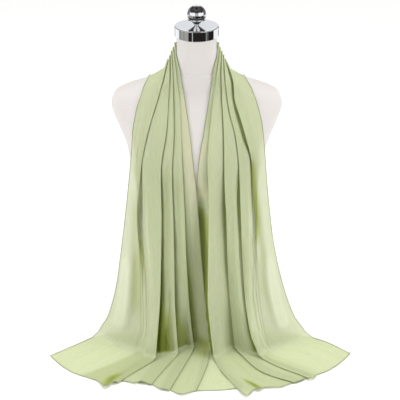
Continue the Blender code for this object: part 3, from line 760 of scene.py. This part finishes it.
def grid_mesh(name, rows, across, along):
    """A sheet through rows of points, with the flat cut as its UV map, in metres."""
    count, width, _ = rows.shape
    index = np.arange(count * width).reshape(count, width)
    quads = np.stack((index[:-1, :-1], index[1:, :-1], index[1:, 1:], index[:-1, 1:]), axis=-1)
    quads = quads.reshape(-1, 4)
    mesh = bpy.data.meshes.new(name)
    mesh.from_pydata((rows.reshape(-1, 3) * MM).tolist(), [], quads.tolist())
    uv = np.stack((across, along), axis=-1).reshape(-1, 2) * MM
    uv = uv[quads.reshape(-1)].astype(np.float32)
    mesh.uv_layers.new(name="cut").data.foreach_set("uv", uv.reshape(-1))
    return mesh


def ringed_mesh(name, rings):
    """A closed solid through rings of points, from the bottom up, with flat ends."""
    index = np.arange(len(rings) * len(rings[0])).reshape(len(rings), -1)
    after = np.roll(index, -1, axis=1)
    sides = np.stack((index[:-1], after[:-1], after[1:], index[1:]), axis=-1).reshape(-1, 4)
    mesh = bpy.data.meshes.new(name)
    faces = sides.tolist() + [index[0, ::-1].tolist(), index[-1].tolist()]
    mesh.from_pydata((np.concatenate(rings) * MM).tolist(), [], faces)
    return mesh


def turned_mesh(name, profile):
    """A profile of (radius, height) turned round the Z axis."""
    angles = np.arange(TURNED_POINTS) * 2 * np.pi / TURNED_POINTS
    circle = np.stack((np.cos(angles), np.sin(angles)), axis=1)
    return ringed_mesh(name, [np.column_stack((circle * radius, np.full(len(circle), height)))
                              for radius, height in profile])


# ---- Materials ----
CHIFFON_FACE = "#DFE7C3"        # what light the cloth's face gives back
CHIFFON_DEEP = "#DBE3BD"        # the same, where the yarn lies closer
CHIFFON_THROUGH = "#C9CF88"     # what light comes through it
CHIFFON_PAINTED_LIGHT = "#F6F0D2"        # painted light: one layer close over the pale form, paler as if the lit form shone through
CHIFFON_LAYERED_HALF_SHADE = "#D4DE8E"     # painted half shade in the folds, yellower where light crosses two or three thicknesses
CHIFFON_FOLD_SHADE = "#66730F"      # painted shade deep inside the folds, where the cloth also lies several times over
CHIFFON_SHEEN = "#CFDE8C"       # along the folds, where the yarn is seen edge on
CHIFFON_HEM = "#8F9670"
CHIFFON_HEM_LIGHT = "#A5AD87"
JERSEY = "#DDD9D6"
JERSEY_SHADE = "#D9D4D1"
CHROME = "#F2F4F6"

CRINKLE = (1.7, 26)         # across and along the cloth, between two crinkles of the twisted yarn
STREAK = (7.5, 190)         # the same for the slow streaks of a denser weave
WEAVE_PITCH = 1.0           # real threads are 0.25 apart, so they're drawn four times as coarse
SHEERNESS = 0.21            # share of the light that goes straight between the threads
GLOW = 0.24                 # share of the rest that comes through the yarn
HEM_TWIST = 1000 / 900      # between two turns of the rolled edge
KNIT = (1.1, 1.1, 0.8)      # one stitch of the jersey
JERSEY_CLOUD = 1000 / 14    # between two paler patches of it
TURNING = (50, 50, 0.4)     # marks of the lathe, which run round


def linear(code):
    """An sRGB hex colour as linear RGBA."""
    values = [int(code[i:i + 2], 16) / 255 for i in (1, 3, 5)]
    return (*[v / 12.92 if v <= 0.04045 else ((v + 0.055) / 1.055) ** 2.4 for v in values], 1.0)


def add(tree, kind, settings=None, **inputs):
    """Add one node, a shader's unless its kind says more. `settings` are its properties.

    An input is a value, another node's socket, or a node, which gives its first output.
    """
    node = tree.nodes.new(kind if "Node" in kind else "ShaderNode" + kind)
    for name, value in (settings or {}).items():
        setattr(node, name, value)
    for name, value in inputs.items():
        socket = node.inputs[int(name[1:]) if name[1:].isdigit() else name.replace("_", " ")]
        if isinstance(value, bpy.types.Node):
            value = value.outputs[0]
        if isinstance(value, bpy.types.NodeSocket):
            tree.links.new(value, socket)
        else:
            socket.default_value = value
    return node


def figure(tree, operation, *values):
    """One sum of up to three values."""
    return add(tree, "Math", {"operation": operation},
               **{f"n{index}": value for index, value in enumerate(values)})


def ranged(tree, value, low, high, start=0.0, end=1.0, **settings):
    """`value`, which goes from `low` to `high`, as one that goes from `start` to `end`."""
    return add(tree, "MapRange", settings, n0=value, n1=low, n2=high, n3=start, n4=end)


def tint(tree, share, first, second):
    """A colour between two, which are hex codes or sockets."""
    first, second = [linear(tone) if isinstance(tone, str) else tone for tone in (first, second)]
    return add(tree, "Mix", {"data_type": "RGBA"}, n0=share, n6=first, n7=second).outputs[2]


def blend(tree, share, first, second):
    """A shader between two others."""
    return add(tree, "MixShader", n0=share, n1=first, n2=second)


def speckle(tree, place, size, detail=1.0, roughness=0.5):
    """Noise in cells of one size, or of a size for each axis."""
    scale = 1.0
    if isinstance(size, tuple):
        place = add(tree, "Mapping", Vector=place, Scale=[1 / (side * MM) for side in size])
    else:
        scale = 1 / (size * MM)
    noise = add(tree, "TexNoise", Vector=place, Scale=scale, Detail=detail, Roughness=roughness)
    return noise.outputs["Fac"]


def relief(tree, height, strength, distance):
    """Small hills and hollows, as deep as `distance` in millimetres."""
    return add(tree, "Bump", Strength=strength, Distance=distance * MM, Height=height)


def own_place(tree):
    """The place on the piece, in metres."""
    return add(tree, "TexCoord").outputs["Object"]


def new_material(name, surface):
    """A material with what the function `surface` adds to its tree."""
    material = bpy.data.materials.new(name)
    material.use_nodes = True
    tree = material.node_tree
    tree.nodes.clear()
    add(tree, "OutputMaterial", Surface=surface(tree))
    return material


def chiffon(tree):
    """Polyester chiffon in plain weave of twisted yarn: sheer, matt and finely crinkled."""
    cut = add(tree, "UVMap", {"uv_map": "cut"})
    crinkle = speckle(tree, cut, (*CRINKLE, 1000), 2.0, 0.55)
    streak = speckle(tree, cut, (*STREAK, 1000), 1.5)
    warp, weft = [add(tree, "TexWave", {"bands_direction": way}, Vector=cut,
                      Scale=2 * math.pi / (WEAVE_PITCH * MM) / 20).outputs["Fac"] for way in "XY"]
    threads = figure(tree, "MULTIPLY", warp, weft)
    bump = relief(tree, figure(tree, "MULTIPLY_ADD", threads, 0.12, crinkle), 0.42, 0.6)
    # The attribute holds painted shade for the folds' pockets, turns and hollows, with the real deepening
    # where the cloth lies over itself. Below 0 it is painted light, one paler sheet over the lit form. It
    # darkens the face and makes the cloth less sheer and less glowing.
    inside = add(tree, "Attribute", {"attribute_name": "layers_and_painted_shade"}).outputs["Fac"]
    face = tint(tree, ranged(tree, streak, 0.3, 0.7), CHIFFON_DEEP, CHIFFON_FACE)
    face = tint(tree, ranged(tree, inside, -1.0, 0.0, 1.0, 0.0), face, CHIFFON_PAINTED_LIGHT)
    face = tint(tree, ranged(tree, inside, 0.30, 0.52), face, CHIFFON_LAYERED_HALF_SHADE)
    face = tint(tree, inside, face, CHIFFON_FOLD_SHADE)
    cloth = add(tree, "BsdfPrincipled", Base_Color=face, Normal=bump, Roughness=0.72,
                Specular_IOR_Level=0.15, Sheen_Weight=0.20, Sheen_Tint=linear(CHIFFON_SHEEN),
                Sheen_Roughness=0.55)
    through = add(tree, "BsdfTranslucent", Color=linear(CHIFFON_THROUGH), Normal=bump)
    body = blend(tree, ranged(tree, inside, 0.0, 1.0, GLOW, 0.1), cloth, through)
    open_share = ranged(tree, crinkle, 0.3, 0.7, SHEERNESS - 0.05, SHEERNESS + 0.05)
    sheer = figure(tree, "MULTIPLY", open_share, ranged(tree, inside, 0.0, 1.0, 1.0, 0.25))
    return blend(tree, sheer, body, add(tree, "BsdfTransparent"))


def rolled_chiffon(tree):
    """The same chiffon rolled over itself three times and stitched, so it is dense and darker."""
    twist = speckle(tree, own_place(tree), HEM_TWIST)
    return add(tree, "BsdfPrincipled", Normal=relief(tree, twist, 0.6, 0.5), Roughness=0.8,
               Base_Color=tint(tree, twist, CHIFFON_HEM, CHIFFON_HEM_LIGHT), Sheen_Weight=0.2)


def jersey(tree):
    """Cotton jersey pulled tight over foam: matt, with a fine even knit."""
    place = own_place(tree)
    cloud = speckle(tree, place, JERSEY_CLOUD, 2.0)
    return add(tree, "BsdfPrincipled", Base_Color=tint(tree, cloud, JERSEY_SHADE, JERSEY),
               Normal=relief(tree, speckle(tree, place, KNIT), 0.35, 0.4), Roughness=0.9,
               Sheen_Weight=0.15, Specular_IOR_Level=0.2)


def chrome(tree):
    """Bright chrome plate on turned metal: a mirror with faint turning marks."""
    gloss = ranged(tree, speckle(tree, own_place(tree), TURNING), 0.0, 1.0, 0.02, 0.07)
    return add(tree, "BsdfPrincipled", Base_Color=linear(CHROME), Metallic=1.0,
               Roughness=gloss)


def laminate(tree):
    """White laminate of the table: smooth and hardly shiny."""
    return add(tree, "BsdfPrincipled", Base_Color=linear("#FDFDFD"), Roughness=0.6,
               Specular_IOR_Level=0.1)


# ---- Pieces ----
def build_scarf(material):
    """The scarf as one thin sheet, and its rows of points."""
    rows, across, along, shadow = scarf_surface()
    mesh = grid_mesh("scarf", rows, across, along)
    # Each point carries its painted shade and painted light, with the darkening of the cloth over itself,
    # for the material.
    layer = mesh.attributes.new("layers_and_painted_shade", "FLOAT", "POINT")
    layer.data.foreach_set("value", shadow.reshape(-1).astype(np.float32))
    return dressed(mesh, material), rows


def hem_tree(material):
    """Geometry Nodes that roll a narrow hem along a line."""
    tree = bpy.data.node_groups.new("rolled hem", "GeometryNodeTree")
    tree.interface.new_socket("Geometry", in_out="INPUT", socket_type="NodeSocketGeometry")
    for name, kind, value in (("Radius", "Float", HEM_RADIUS * MM), ("Unevenness", "Float", 0.22),
                              ("Bump Length", "Float", 0.006), ("Sides", "Int", 7)):
        socket = tree.interface.new_socket(name, in_out="INPUT", socket_type=f"NodeSocket{kind}")
        socket.default_value = value
    tree.interface.new_socket("Geometry", in_out="OUTPUT", socket_type="NodeSocketGeometry")
    given = add(tree, "NodeGroupInput").outputs
    line = add(tree, "GeometryNodeMeshToCurve", Mesh=given["Geometry"])
    noise = add(tree, "TexNoise", Vector=add(tree, "GeometryNodeInputPosition"),
                Scale=figure(tree, "DIVIDE", 1.0, given["Bump Length"]))
    swing = figure(tree, "SUBTRACT", noise.outputs["Fac"], 0.5)
    thick = figure(tree, "MULTIPLY_ADD", swing, given["Unevenness"], 1.0)
    profile = add(tree, "GeometryNodeCurvePrimitiveCircle", Resolution=given["Sides"])
    rolled = add(tree, "GeometryNodeCurveToMesh", Curve=line, Profile_Curve=profile,
                 Scale=figure(tree, "MULTIPLY", thick, given["Radius"]))
    real = add(tree, "GeometryNodeRealizeInstances", Geometry=rolled)
    worn = add(tree, "GeometryNodeSetMaterial", Geometry=real, Material=material)
    add(tree, "NodeGroupOutput", Geometry=worn)
    return tree


def build_hem(rows, material):
    """The narrow rolled hem round all four edges of the scarf, made along the edge's line."""
    edge = np.concatenate((rows[:, 0], rows[-1, 1:], rows[-2::-1, -1], rows[0, -2:0:-1]))
    closed = np.concatenate((edge, edge[:1]))
    run = distance_along(closed)
    count = int(run[-1] / HEM_STEP)
    at = np.arange(count) * run[-1] / count
    line = np.stack([np.interp(at, run, closed[:, axis]) for axis in range(3)], axis=1)
    line[:, 2] = np.maximum(line[:, 2], HEM_RADIUS + HEM_OVER_TABLE)
    line = off_the_form(line, HEM_RADIUS + HEM_OFF_FORM)
    mesh = bpy.data.meshes.new("hem line")
    mesh.from_pydata((line * MM).tolist(), [(i, (i + 1) % count) for i in range(count)], [])
    guide = placed("hem line", mesh)
    guide.modifiers.new("rolled hem", "NODES").node_group = hem_tree(material)
    graph = bpy.context.evaluated_depsgraph_get()
    made = bpy.data.meshes.new_from_object(guide.evaluated_get(graph))
    bpy.data.objects.remove(guide)
    made.name = "scarf_rolled_hem"
    made.shade_smooth()
    return placed(made.name, made)


def build_form(material):
    """The dress form in its jersey: a tight smooth skin with a seam round the neck."""
    angles = np.arange(FORM_POINTS) * 2 * np.pi / FORM_POINTS
    cosine, sine = np.cos(angles), np.sin(angles)
    turn = np.radians((0, 22, 45, 68, 90))
    count = int((NECK_TOP - FORM_FOOT_RADIUS) / FORM_RING_STEP)
    body = np.linspace(FORM_FOOT_RADIUS, NECK_TOP, count + 1)[1:]
    seam = NECK_SEAM_HEIGHT + np.array((-1.2, -0.5, 0, 0.5, 1.2)) * NECK_SEAM_WIDTH
    body = np.unique(np.concatenate((body, seam)))
    groove = NECK_SEAM_DEPTH * np.exp(-((body - NECK_SEAM_HEIGHT) / NECK_SEAM_WIDTH) ** 2)
    heights = np.concatenate((FORM_FOOT_RADIUS * (1 - np.cos(turn)), body))
    insets = np.concatenate((FORM_FOOT_RADIUS * (1 - np.sin(turn)), groove))
    half_width, front, back = (form_section(heights) - insets[:, None]).T[:, :, None]
    deep = np.where(sine < 0, front, back)
    radius = (np.abs(cosine / half_width) ** FORM_SQUARENESS
              + np.abs(sine / deep) ** FORM_SQUARENESS) ** (-1 / FORM_SQUARENESS)
    level = np.broadcast_to(heights[:, None], radius.shape)
    rings = np.stack((cosine * radius, sine * radius, level), axis=-1)
    return dressed(ringed_mesh("form_jersey_torso", rings), material, sharp=50)


def arc(middle, radius, start, end, count):
    """(radius, height) points round an arc; 0 degrees points out and 90 points up."""
    angles = np.radians(np.linspace(start, end, count))
    return [(middle[0] + radius * np.cos(a), middle[1] + radius * np.sin(a)) for a in angles]


def build_cap(material):
    """A deep round plate of turned metal, a little crowned at its edge."""
    bottom = NECK_TOP + SEAM_GAP
    top = bottom + CAP_HEIGHT
    flat = CAP_RADIUS - CAP_BEVEL
    shoulder = top - CAP_CROWN - CAP_BEVEL
    profile = [(CAP_RADIUS - 0.5, bottom), (CAP_RADIUS, bottom + 0.5), (CAP_RADIUS, bottom + 1.0),
               (CAP_RADIUS, shoulder - 0.6)]
    profile += arc((flat, shoulder), CAP_BEVEL, 0, 78, 6)
    profile += [(flat - step, top - CAP_CROWN * (1 - step / 3) ** 2) for step in (0.6, 1.4, 2.2)]
    profile += [(flat - 3.0, top), (30, top), (10, top), (0.5, top)]
    return dressed(turned_mesh("form_cap", profile), material, sharp=28)


def build_finial(material):
    """A ball that sits in a flared cup, turned from one bar."""
    foot = NECK_TOP + SEAM_GAP + CAP_HEIGHT + SEAM_GAP
    middle = NECK_TOP + SEAM_GAP + CAP_HEIGHT + BALL_RISE
    rim = middle - CUP_DROP
    profile = [(STEM_RADIUS + 0.5, foot), (STEM_RADIUS + 0.2, foot + 0.5), (STEM_RADIUS, foot + 1.2)]
    profile += [(mix(STEM_RADIUS, CUP_RADIUS, share), foot + 1.2 + (rim - foot - 2.0) * share)
                for share in (0.06, 0.14, 0.26, 0.4, 0.55, 0.7, 0.85, 0.95)]
    profile += arc((CUP_RADIUS - 0.5, rim - 0.5), 0.5, -30, 90, 5)
    seat = math.degrees(math.asin((rim - 0.6 - middle) / BALL_RADIUS))
    profile += [(CUP_RADIUS - 1.4, rim - 0.2)] + arc((0, middle), BALL_RADIUS, seat, 86, 46)
    profile.append((0.3, middle + BALL_RADIUS))
    return dressed(turned_mesh("form_ball_finial", profile), material, sharp=28)


# ---- The studio ----
FILL = 0.34                 # even light of the white room
TABLE_REACH = 9.0           # metres, each way

LIGHTS = table(
    "name kind place target size energy",
    ("left softbox", "AREA", (-2.2, -1.1, 1.2), (0, -0.1, 0.35), (1.2, 1.7), 28),
    ("right softbox", "AREA", (2.2, -1.1, 1.2), (0, -0.1, 0.35), (1.2, 1.7), 28),
    ("top light", "SUN", (0.1, 0.25, 3.0), (0, 0, 0), (40, 40), 2.0),
)

# The room as the chrome shows it: white cards and softboxes in a dark studio. Degrees of
# azimuth from the front, to the viewer's right, and of elevation.
CARDS = table(
    "name left right low high blur tone",
    ("brown wall", -180, 180, 26, 48, 6, "#4A3C3B"),
    ("ceiling", -180, 180, 50, 78, 10, "#4C4F50"),
    ("white wall behind, left", -181, -160, -5, 46, 3, "#E7E8EB"),
    ("white wall behind, right", 160, 181, -5, 46, 3, "#E7E8EB"),
    ("white wall top, left", -181, -160, 24, 46, 5, "#FFFFFF"),
    ("white wall top, right", 160, 181, 24, 46, 5, "#FFFFFF"),
    ("grey room, left", -160, -102, -44, 22, 6, "#7E7F82"),
    ("grey room, right", 102, 160, -44, 22, 6, "#6A6B6E"),
    ("white table, left", -156, -106, -22, -15, 2.5, "#FFFFFF"),
    ("white table, right", 101, 156, -22, -15, 2.5, "#FFFFFF"),
    ("window between", -24, 24, -10, 25, 8, "#B4B8B8"),
    ("left softbox", -58, -20, -12, 28, 7, "#FFFFFF"),
    ("left softbox's side", -96, -50, -12, 18, 9, "#FFFFFF"),
    ("right softbox", 22, 58, -12, 28, 7, "#FFFFFF"),
    ("right softbox's side", 50, 96, -12, 18, 9, "#FFFFFF"),
    ("table beside, left", -106, -44, -34, -13, 4, "#A3A19C"),
    ("stand, left", -97, -92, -34, -13, 3, "#83817D"),
    ("stand, left 2", -74, -68, -34, -13, 4, "#8E8C88"),
    ("bright slit", -24, -20, -34, -13, 2, "#C6C6C6"),
    ("right slit", 50, 54, -34, -13, 2, "#A6A6A4"),
    ("right slit 2", 59, 63, -34, -13, 3, "#7C7C7C"),
    ("table ahead", -70, 70, -80, -56, 6, "#A9AEB4"),
)
DARK_ROOM = "#262120"


def card_picture(tree):
    """The cards laid over a dark room, by the direction a ray goes."""
    way = add(tree, "TexCoord").outputs["Generated"]
    x, y, z = add(tree, "SeparateXYZ", Vector=way).outputs
    turn = figure(tree, "ARCTAN2", x, figure(tree, "MULTIPLY", y, -1.0))
    azimuth = figure(tree, "DEGREES", turn)
    elevation = figure(tree, "DEGREES", figure(tree, "ARCSINE", z))
    picture = DARK_ROOM
    for card in CARDS:
        inside = None
        for value, edge, side in ((azimuth, card.left, 1), (azimuth, card.right, -1),
                                  (elevation, card.low, 1), (elevation, card.high, -1)):
            ends = (0.0, 1.0)[::side]
            step = ranged(tree, value, edge - card.blur / 2, edge + card.blur / 2, *ends,
                          interpolation_type="SMOOTHSTEP")
            inside = figure(tree, "MULTIPLY", inside, step) if inside else step
        picture = tint(tree, inside, picture, card.tone)
    return picture


def room(tree):
    """Even light on what is matt, the cards for what mirrors, and plain white for the camera."""
    fill = add(tree, "Background", Color=linear("#FFFDFA"), Strength=FILL)
    seen = add(tree, "Background", Color=card_picture(tree))
    white = add(tree, "Background", Color=(1, 1, 1, 1))
    ray = add(tree, "LightPath").outputs
    glossy = blend(tree, ray["Is Glossy Ray"], fill, seen)
    return blend(tree, ray["Is Camera Ray"], glossy, white)


def build_studio():
    scene = bpy.context.scene
    scene.view_settings.view_transform = "Standard"
    scene.view_settings.look = "None"

    mesh = bpy.data.meshes.new("studio_floor")
    corners = [(x * TABLE_REACH, y * TABLE_REACH, 0) for x, y in ((-1, -1), (1, -1), (1, 1), (-1, 1))]
    mesh.from_pydata(corners, [], [(0, 1, 2, 3)])
    mesh.materials.append(new_material("white table laminate", laminate))
    floor = placed("studio_floor", mesh)
    floor.visible_glossy = False

    world = bpy.data.worlds.new("white studio")
    world.use_nodes = True
    world.node_tree.nodes.clear()
    add(world.node_tree, "OutputWorld", Surface=room(world.node_tree))
    scene.world = world

    for light in LIGHTS:
        data = bpy.data.lights.new(light.name, light.kind)
        if light.kind == "AREA":
            data.shape = "RECTANGLE"
            data.size, data.size_y = light.size
        else:
            data.angle = math.radians(light.size[0])
        data.energy = light.energy
        lamp = placed(light.name, data)
        lamp.location = light.place
        way = np.array(light.target, float) - np.array(light.place, float)
        flat = math.hypot(way[0], way[1])
        lamp.rotation_euler = (math.atan2(flat, -way[2]), 0, math.atan2(way[1], way[0]) - math.pi / 2)
        lamp.visible_glossy = False


CAMERA_PLACE = (0.007, -2.501, 1.483)
CAMERA_PITCH = 25.8         # degrees below level
CAMERA_LENS = 111.96        # millimetres, as is
SENSOR_WIDTH = 36


def build_camera():
    data = bpy.data.cameras.new("camera")
    data.sensor_width = SENSOR_WIDTH
    data.lens = CAMERA_LENS
    camera = placed("camera", data)
    camera.location = CAMERA_PLACE
    camera.rotation_euler = (math.radians(90 - CAMERA_PITCH), 0, 0)
    bpy.context.scene.camera = camera


# ---- The whole ----
build_camera()
build_studio()
plate = new_material("polished chrome plate", chrome)
torso = build_form(new_material("off-white cotton jersey", jersey))
cap = build_cap(plate)
finial = build_finial(plate)
scarf, scarf_rows = build_scarf(new_material("sage polyester chiffon", chiffon))
hem = build_hem(scarf_rows, new_material("rolled sage chiffon hem", rolled_chiffon))

for item, node, slot in ((torso, "form_torso", "jersey"), (cap, "form_neck_cap", "chrome"),
                         (finial, "form_finial", "chrome")):
    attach(item, "root")
    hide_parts(node)
for item in (scarf, hem):
    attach(item, "root")
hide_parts("scarf_left_front", "scarf_right_front", "scarf_back_neck")
